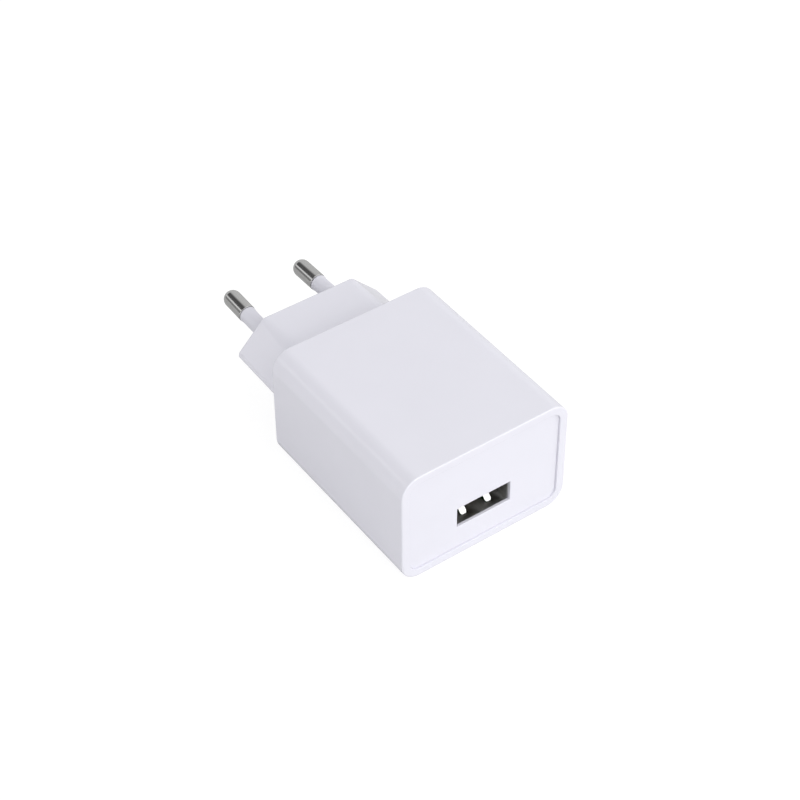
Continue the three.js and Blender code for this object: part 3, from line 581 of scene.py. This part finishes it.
def make_case():
    skin = Skin()
    # From the seat of the cover, forward over the rim and along the body to its back edge
    seat = skin.section(body_outline(SIDE_WALL), FRONT_Y + SEAT_DEPTH)
    rings = [seat, skin.section(body_outline(RIM_WALL), FRONT_Y + SEAT_DEPTH)]
    for inset, drop in rounding_steps(RIM_ROUNDING, 4):
        rings.append(skin.section(body_outline(RIM_WALL - inset), FRONT_Y + drop))
    for inset, drop in reversed(rounding_steps(BODY_END_ROUNDING, 7)):
        rings.append(skin.section(body_outline(inset), FRONT_Y + drop))
    for inset, drop in rounding_steps(BODY_END_ROUNDING, 7):
        rings.append(skin.section(body_outline(inset), BODY_BACK_Y - drop))
    back_edge = skin.loft(rings)
    # The plug base, from its root in the back face to the edge of the plug face
    rings = []
    for inset, drop in reversed(rounding_steps(BASE_ROOT_FILLET, 5)):
        flare = BASE_ROOT_FILLET - inset
        rings.append(skin.section(base_outline(-flare, 0), BODY_BACK_Y + BASE_ROOT_FILLET - drop))
    root_edge = rings[0]
    side_start = BODY_BACK_Y + BASE_ROOT_FILLET
    side_end = BASE_FACE_Y - BASE_FACE_ROUNDING
    side_steps = 12
    for k in range(1, side_steps):
        along = k / side_steps
        rings.append(skin.section(base_outline(0, along), side_start + (side_end - side_start) * along))
    for inset, drop in rounding_steps(BASE_FACE_ROUNDING, 6):
        rings.append(skin.section(base_outline(inset), BASE_FACE_Y - drop))
    face_edge = skin.loft(rings)
    skin.fill(back_edge, root_edge)
    # The plug face, with the holes that the sleeved pins come out of
    holes_outside = []
    holes_inside = []
    for side in SIDES.values():
        root, axis = pin_axis(side)
        outside = skin.ring(flat_circle(root, HOLE_RADIUS))
        inside = skin.ring(flat_circle(root - axis * (BASE_FACE_WALL / axis.y), HOLE_RADIUS))
        skin.bridge(outside, inside)
        holes_outside.append(outside)
        holes_inside.append(inside)
    skin.fill(face_edge, *holes_outside)
    # Inside: the hollow of the base, the back wall and the side walls
    inner_face = skin.section(base_outline(BASE_WALL), BASE_FACE_Y - BASE_FACE_WALL)
    inner_root = skin.section(base_outline(BASE_WALL), BODY_BACK_Y - BACK_WALL)
    inner_back = skin.section(body_outline(SIDE_WALL), BODY_BACK_Y - BACK_WALL)
    skin.fill(inner_face, *holes_inside)
    skin.bridge(inner_face, inner_root)
    skin.fill(inner_root, inner_back)
    skin.bridge(inner_back, seat)
    piece = skin.finish("case_shell", "white_plastic")
    weight_normals(piece)
    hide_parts("case_body")
    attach(piece, "root")


# ------------------------------------------------------------------ front cover


def make_cover():
    skin = Skin()
    back_y = COVER_FACE_Y + COVER_THICKNESS
    edge = RIM_WALL + COVER_GAP
    outer = [skin.section(body_outline(edge), back_y)]
    for inset, drop in rounding_steps(COVER_ROUNDING, 4):
        outer.append(skin.section(body_outline(edge + inset), COVER_FACE_Y + drop))
    window = []
    for inset, drop in reversed(rounding_steps(WINDOW_ROUNDING, 4)):
        grow = 2 * inset
        outline = port_outline(WINDOW_WIDTH + grow, WINDOW_HEIGHT + grow, WINDOW_RADIUS + inset)
        window.append(skin.section(outline, COVER_FACE_Y + drop))
    lip_y = COVER_FACE_Y + WINDOW_LIP
    window.append(skin.section(port_outline(WINDOW_WIDTH, WINDOW_HEIGHT, WINDOW_RADIUS), lip_y))
    # A pocket behind the window takes the mouth of the socket, so that only a thin lip stands before it
    pocket = port_outline(
        SHELL_OUTER_WIDTH + 2 * POCKET_ROOM,
        SHELL_OUTER_HEIGHT + 2 * POCKET_ROOM,
        SHELL_OUTER_RADIUS,
    )
    pocket_floor = skin.section(pocket, lip_y)
    pocket_mouth = skin.section(pocket, back_y)
    skin.loft(outer)
    skin.loft(window)
    skin.fill(outer[-1], window[0])
    skin.fill(window[-1], pocket_floor)
    skin.bridge(pocket_floor, pocket_mouth)
    skin.fill(pocket_mouth, outer[0])
    piece = skin.finish("cover_panel", "white_plastic")
    tabs = Skin()
    for x in (-TAB_OFFSET, TAB_OFFSET):
        for low in (SIDE_WALL + TAB_GAP, BODY_HEIGHT - SIDE_WALL - TAB_GAP - TAB_THICKNESS):
            near = (x - TAB_WIDTH / 2, back_y - TAB_ROOT, low)
            far = (x + TAB_WIDTH / 2, back_y + TAB_LENGTH, low + TAB_THICKNESS)
            tabs.block(near, far)
    combine(piece, tabs.finish("tabs", "white_plastic"), "UNION")
    weight_normals(piece)
    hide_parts("front_cover")
    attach(piece, "root")


# ------------------------------------------------------------------ USB socket


def make_shell():
    front = shell_low.y
    back = shell_high.y
    edge = 0.06 * MM
    skin = Skin()
    inside = port_outline(SHELL_INNER_WIDTH, SHELL_INNER_HEIGHT, SHELL_INNER_RADIUS)
    rings = [skin.section(inside, y) for y in (back, front)]
    for grow, y in ((-2 * edge, front), (0, front + edge), (0, back)):
        outline = port_outline(SHELL_OUTER_WIDTH + grow, SHELL_OUTER_HEIGHT + grow, SHELL_OUTER_RADIUS)
        rings.append(skin.section(outline, y))
    skin.loft(rings)
    skin.bridge(rings[-1], rings[0])
    piece = skin.finish("usb_shell_sheet", "tinned_steel")
    slots = Skin()
    floor = PORT_HEIGHT - SHELL_INNER_HEIGHT / 2
    tip_y = front + FINGER_TIP
    for x in FINGER_OFFSETS:
        slots.block(
            (x - FINGER_WIDTH / 2 - FINGER_GAP, tip_y - FINGER_GAP, floor - 2 * SHELL_SHEET),
            (x + FINGER_WIDTH / 2 + FINGER_GAP, tip_y + FINGER_LENGTH - FINGER_ROOT, floor + SHELL_SHEET),
        )
    combine(piece, slots.finish("slots", "tinned_steel"), "DIFFERENCE")
    additions = Skin()
    for x in FINGER_OFFSETS:
        add_finger(additions, x, tip_y, floor)
    for side in SIDES.values():
        middle = side * (SHELL_OUTER_WIDTH - SHELL_SHEET) / 2
        leg_y = front + SHELL_LEG_OFFSET
        additions.block(
            (middle - SHELL_SHEET / 2, leg_y, shell_low.z),
            (middle + SHELL_SHEET / 2, leg_y + SHELL_LEG_LENGTH, PORT_HEIGHT),
        )
    combine(piece, additions.finish("additions", "tinned_steel"), "UNION")
    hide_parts("usb_shell")
    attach(piece, "root")


def finger_path():
    """Points (along, rise) of a leaf: a ramp from under the floor, a crest, and a long slope to the root."""
    ramp = math.radians(FINGER_RAMP_ANGLE)
    crest = FINGER_CREST_RADIUS
    ramp_rise = FINGER_DIP + FINGER_RISE - crest * (1 - math.cos(ramp))
    ramp_steps = 10
    points = []
    for k in range(ramp_steps):
        # Closely spaced at the tip, which is a half circle seen from above
        rise = ramp_rise * (k / ramp_steps) ** 2
        points.append((rise / math.tan(ramp), rise - FINGER_DIP))
    centre = Vector((ramp_rise / math.tan(ramp) + crest * math.sin(ramp), FINGER_RISE - crest))
    fall = math.atan(FINGER_RISE / (FINGER_LENGTH - centre.x))
    arc_steps = 10
    for k in range(arc_steps + 1):
        angle = ramp - (ramp + fall) * k / arc_steps
        points.append((centre.x - crest * math.sin(angle), centre.y + crest * math.cos(angle)))
    points.append((FINGER_LENGTH, 0))
    # The root dips into the sheet, so that the two join
    points.append((FINGER_LENGTH + FINGER_ROOT, -0.02 * MM))
    return [Vector(p) for p in points]


def add_finger(skin, x, tip_y, floor):
    """A leaf of sheet whose tip, seen from above, is a half circle."""
    path = finger_path()
    radius = FINGER_WIDTH / 2
    soft = FINGER_EDGE_SOFTNESS
    # The leaf starts just behind the very tip, where its width would be nothing
    travelled = 0.05 * MM
    rings = []
    for i, point in enumerate(path):
        before = path[max(i - 1, 0)]
        after = path[min(i + 1, len(path) - 1)]
        run, climb = (after - before).normalized()
        travelled += (point - before).length
        half = math.sqrt(radius**2 - max(radius - travelled, 0) ** 2)
        section = (
            (-half, FINGER_SHEET),
            (half, FINGER_SHEET),
            (half, soft),
            (half - soft, 0),
            (soft - half, 0),
            (-half, soft),
        )
        points = []
        for across, depth in section:
            y = tip_y + point.x + climb * depth
            points.append((x + across, y, floor + point.y - run * depth))
        rings.append(skin.ring(points))
    skin.loft(rings)
    skin.mesh.faces.new(rings[0])
    skin.mesh.faces.new(rings[-1])


def make_tongue():
    front = tongue_low.y
    back = tongue_high.y
    underside = PORT_HEIGHT - SHELL_INNER_HEIGHT / 2 + TONGUE_CLEARANCE
    middle = underside + TONGUE_THICKNESS / 2

    def tongue_outline(inset):
        width = TONGUE_WIDTH - 2 * inset
        thickness = TONGUE_THICKNESS - 2 * inset
        corners = rectangle(width, thickness, TONGUE_EDGE_RADIUS, middle)
        return rounded_outline(corners, arc_steps=4, side_steps=2)

    skin = Skin()
    rings = []
    for inset, drop in reversed(rounding_steps(TONGUE_FRONT_ROUNDING, 4)):
        rings.append(skin.section(tongue_outline(inset), front + drop))
    rings.append(skin.section(tongue_outline(0), back - 0.5 * MM))
    skin.loft(rings)
    skin.fill(rings[0])
    skin.fill(rings[-1])
    piece = skin.finish("usb_tongue_moulded", "black_plastic")
    # The block behind the tongue fills the rear of the socket
    block = Skin()
    block_outline = port_outline(
        SHELL_INNER_WIDTH - 2 * TONGUE_BLOCK_GAP,
        SHELL_INNER_HEIGHT - 2 * TONGUE_BLOCK_GAP,
        SHELL_INNER_RADIUS - TONGUE_BLOCK_GAP,
    )
    block_ends = [block.section(block_outline, y) for y in (back - TONGUE_BLOCK_LENGTH, back)]
    block.loft(block_ends)
    for ring in block_ends:
        block.fill(ring)
    combine(piece, block.finish("block", "black_plastic"), "UNION")
    # The slots run on past both faces of the block, so that they cut it cleanly
    slots = Skin()
    overrun = 1 * MM
    slot_start = back - TONGUE_BLOCK_LENGTH - overrun
    for x in CONTACT_OFFSETS:
        slots.block(
            (x - CONTACT_SLOT_WIDTH / 2, slot_start, underside - CONTACT_SLOT_HEIGHT),
            (x + CONTACT_SLOT_WIDTH / 2, back + overrun, underside),
        )
    combine(piece, slots.finish("slots", "black_plastic"), "DIFFERENCE")
    weight_normals(piece)
    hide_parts("usb_tongue")
    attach(piece, "root")


# ------------------------------------------------------------------ making the object

make_case()
make_cover()
for side_name, side in SIDES.items():
    make_pin(side_name, side)
    make_sleeve(side_name, side)
make_shell()
make_tongue()

slot_of_node = {row["node"]: row["material_slot"] for row in frame["record"]["subparts"]}
for node_name, node in frame["nodes"].items():
    node.data.materials.clear()
    node.data.materials.append(MATERIALS[slot_of_node[node_name]])

# ------------------------------------------------------------------ floor, light and camera

FLOOR_SIZE = 6.0
FLOOR_SHADES = ((0.66, 0.66, 0.66), (0.67, 0.67, 0.67))
FLOOR_GLOW = 0.88
FLOOR_SHADOW_SHADE = (0.2, 0.2, 0.2)


def make_floor():
    """A pale floor. The camera sees a glow on it, and a shadow that is fainter than a real one."""
    skin = Skin()
    half = FLOOR_SIZE / 2
    corners = [(-half, -half, 0), (half, -half, 0), (half, half, 0), (-half, half, 0)]
    skin.mesh.faces.new(skin.ring(corners))
    shader = Shader("floor", FLOOR_SHADES[0], 0.9)
    nodes, links = shader.nodes, shader.links
    shader.vary_color(shader.noise(6, 2), *FLOOR_SHADES)
    glow = nodes.new("ShaderNodeEmission")
    glow.inputs["Color"].default_value = (1, 1, 1, 1)
    glow.inputs["Strength"].default_value = FLOOR_GLOW
    pale = nodes.new("ShaderNodeBsdfDiffuse")
    pale.inputs["Color"].default_value = (*FLOOR_SHADOW_SHADE, 1)
    seen = nodes.new("ShaderNodeAddShader")
    links.new(glow.outputs[0], seen.inputs[0])
    links.new(pale.outputs[0], seen.inputs[1])
    path = nodes.new("ShaderNodeLightPath")
    mix = nodes.new("ShaderNodeMixShader")
    links.new(path.outputs["Is Camera Ray"], mix.inputs["Fac"])
    links.new(shader.principled.outputs[0], mix.inputs[1])
    links.new(seen.outputs[0], mix.inputs[2])
    links.new(mix.outputs[0], nodes["Material Output"].inputs["Surface"])
    skin.to_object("floor", shader.material)


def area_light(name, position, size, power):
    """A lamp that points at the middle of the charger's underside."""
    light = bpy.data.lights.new(name, "AREA")
    light.shape = "RECTANGLE"
    light.size, light.size_y = size
    light.energy = power
    lamp = bpy.data.objects.new(name, light)
    lamp.location = position
    lamp.rotation_euler = (-Vector(position)).to_track_quat("-Z", "Y").to_euler()
    bpy.context.scene.collection.objects.link(lamp)


def make_world():
    """An even white room, with a dark hanging and a narrow bright gap in it behind the pins.

    The camera itself sees plain white. The hanging only lights the charger and shows in its metal.
    """
    world = bpy.data.worlds.new("studio")
    bpy.context.scene.world = world
    world.use_nodes = True
    nodes, links = world.node_tree.nodes, world.node_tree.links
    direction = nodes.new("ShaderNodeTexCoord").outputs["Generated"]
    split = nodes.new("ShaderNodeSeparateXYZ")
    links.new(direction, split.inputs[0])
    turn = nodes.new("ShaderNodeMath")
    turn.operation = "ARCTAN2"
    links.new(split.outputs["Z"], turn.inputs[0])
    links.new(split.outputs["X"], turn.inputs[1])
    half_turn = nodes.new("ShaderNodeMapRange")
    half_turn.inputs["From Max"].default_value = math.pi
    links.new(turn.outputs[0], half_turn.inputs["Value"])
    bands = nodes.new("ShaderNodeValToRGB")
    stops = bands.color_ramp.elements
    while len(stops) < len(SKY_BANDS):
        stops.new(0.5)
    for stop, (angle, level) in zip(stops, SKY_BANDS):
        stop.position = angle / 180
        stop.color = (level, level, level, 1)
    links.new(half_turn.outputs["Result"], bands.inputs["Fac"])
    # The hanging fades in from the sides, and out again before its bands meet straight behind
    spans = []
    for start, end, levels in ((0.15, 0.4, (0, 1)), (0.8, 0.95, (1, 0))):
        span = nodes.new("ShaderNodeMapRange")
        span.interpolation_type = "SMOOTHSTEP"
        span.inputs["From Min"].default_value = start
        span.inputs["From Max"].default_value = end
        span.inputs["To Min"].default_value, span.inputs["To Max"].default_value = levels
        links.new(split.outputs["Y"], span.inputs["Value"])
        spans.append(span.outputs["Result"])
    behind = nodes.new("ShaderNodeMath")
    behind.operation = "MULTIPLY"
    links.new(spans[0], behind.inputs[0])
    links.new(spans[1], behind.inputs[1])
    room = nodes.new("ShaderNodeMix")
    room.data_type = "RGBA"
    room.inputs["A"].default_value = (1, 1, 1, 1)
    links.new(behind.outputs[0], room.inputs["Factor"])
    links.new(bands.outputs["Color"], room.inputs["B"])
    light = nodes.new("ShaderNodeBackground")
    light.inputs["Strength"].default_value = AMBIENT
    links.new(room.outputs["Result"], light.inputs["Color"])
    seen = nodes["Background"]
    seen.inputs["Color"].default_value = (1, 1, 1, 1)
    seen.inputs["Strength"].default_value = 1.0
    path = nodes.new("ShaderNodeLightPath")
    mix = nodes.new("ShaderNodeMixShader")
    links.new(path.outputs["Is Camera Ray"], mix.inputs["Fac"])
    links.new(light.outputs[0], mix.inputs[1])
    links.new(seen.outputs[0], mix.inputs[2])
    links.new(mix.outputs[0], nodes["World Output"].inputs["Surface"])


def make_camera():
    azimuth = math.radians(CAMERA_AZIMUTH)
    elevation = math.radians(CAMERA_ELEVATION)
    roll = math.radians(CAMERA_ROLL)
    back = Vector(
        (
            math.sin(azimuth) * math.cos(elevation),
            -math.cos(azimuth) * math.cos(elevation),
            math.sin(elevation),
        )
    )
    level_right = (-back).cross(Vector((0, 0, 1))).normalized()
    level_up = back.cross(level_right)
    right = math.cos(roll) * level_right + math.sin(roll) * level_up
    up = math.cos(roll) * level_up - math.sin(roll) * level_right
    data = bpy.data.cameras.new("camera")
    data.sensor_width = 36
    data.lens = CAMERA_LENS
    data.clip_start = 0.01
    camera = bpy.data.objects.new("camera", data)
    matrix = Matrix((right, up, back)).transposed().to_4x4()
    matrix.translation = Vector(CAMERA_TARGET) + back * CAMERA_DISTANCE
    camera.matrix_world = matrix
    bpy.context.scene.collection.objects.link(camera)
    bpy.context.scene.camera = camera


make_floor()
make_world()
make_camera()
area_light("key", (0.42, -0.68, 0.6), (1.0, 0.8), KEY_POWER)
area_light("front", (-0.1, -1.0, 0.12), (0.8, 0.3), FRONT_POWER)
area_light("fill", (-0.9, 0.05, 0.08), (0.6, 0.6), FILL_POWER)
area_light("right", (0.9, 0.15, 0.35), (0.6, 0.6), RIGHT_POWER)

bpy.context.scene.view_settings.view_transform = "Standard"
